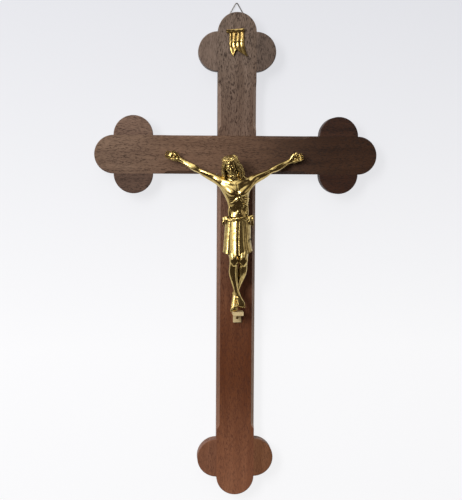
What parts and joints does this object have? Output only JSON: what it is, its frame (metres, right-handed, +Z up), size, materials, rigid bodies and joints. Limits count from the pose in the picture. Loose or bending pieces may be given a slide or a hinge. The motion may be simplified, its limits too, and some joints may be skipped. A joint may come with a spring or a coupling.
{
  "type": "wall crucifix",
  "caption": "Wooden wall cross with trefoil ends, a cast brass figure on a footrest, a nailed name scroll and a wire hanging ring.",
  "frame": {"origin": "inside the top bend of the hanging ring, where the wall nail bears on the wire", "axes": "+Z up along the upright, -Y out of the wall towards the viewer, +X to the viewer's right"},
  "size_m": [0.326, 0.054, 0.5747],
  "materials": {
    "wood_upright": "waxed, grain along the upright",
    "wood_crossbar": "waxed, grain along the crossbar",
    "figure_brass": "cast and polished, dark in the hollows",
    "footrest_brass": "satin",
    "scroll_brass": "cast and polished, dark in the folds",
    "nail_brass": "polished",
    "nail_dark": "tarnished",
    "strap_brass": "satin sheet",
    "ring_steel": "dull drawn wire"
  },
  "bodies": {
    "cross": {"upright": "wood_upright", "crossbar": "wood_crossbar", "top_left_lobe": "wood_upright", "top_right_lobe": "wood_upright", "foot_left_lobe": "wood_upright", "foot_right_lobe": "wood_upright", "left_upper_lobe": "wood_crossbar", "left_lower_lobe": "wood_crossbar", "right_upper_lobe": "wood_crossbar", "right_lower_lobe": "wood_crossbar", "figure": "figure_brass", "footrest": "footrest_brass", "name_scroll": "scroll_brass", "left_hand_nail": "nail_brass", "right_hand_nail": "nail_brass", "foot_nail": "nail_brass", "footrest_nail": "nail_dark", "scroll_nail": "nail_dark", "hanger_strap": "strap_brass", "upper_strap_nail": "nail_dark", "lower_strap_nail": "nail_dark"},
    "ring": {"hanger_ring": "ring_steel"}
  },
  "joints": [
    {"name": "ring_hinge", "type": "hinge", "parent": "cross", "child": "ring", "pos_m": [0, 0, -0.01729], "axis": [-1, 0, 0], "range_deg": [-4, 172]}
  ]
}
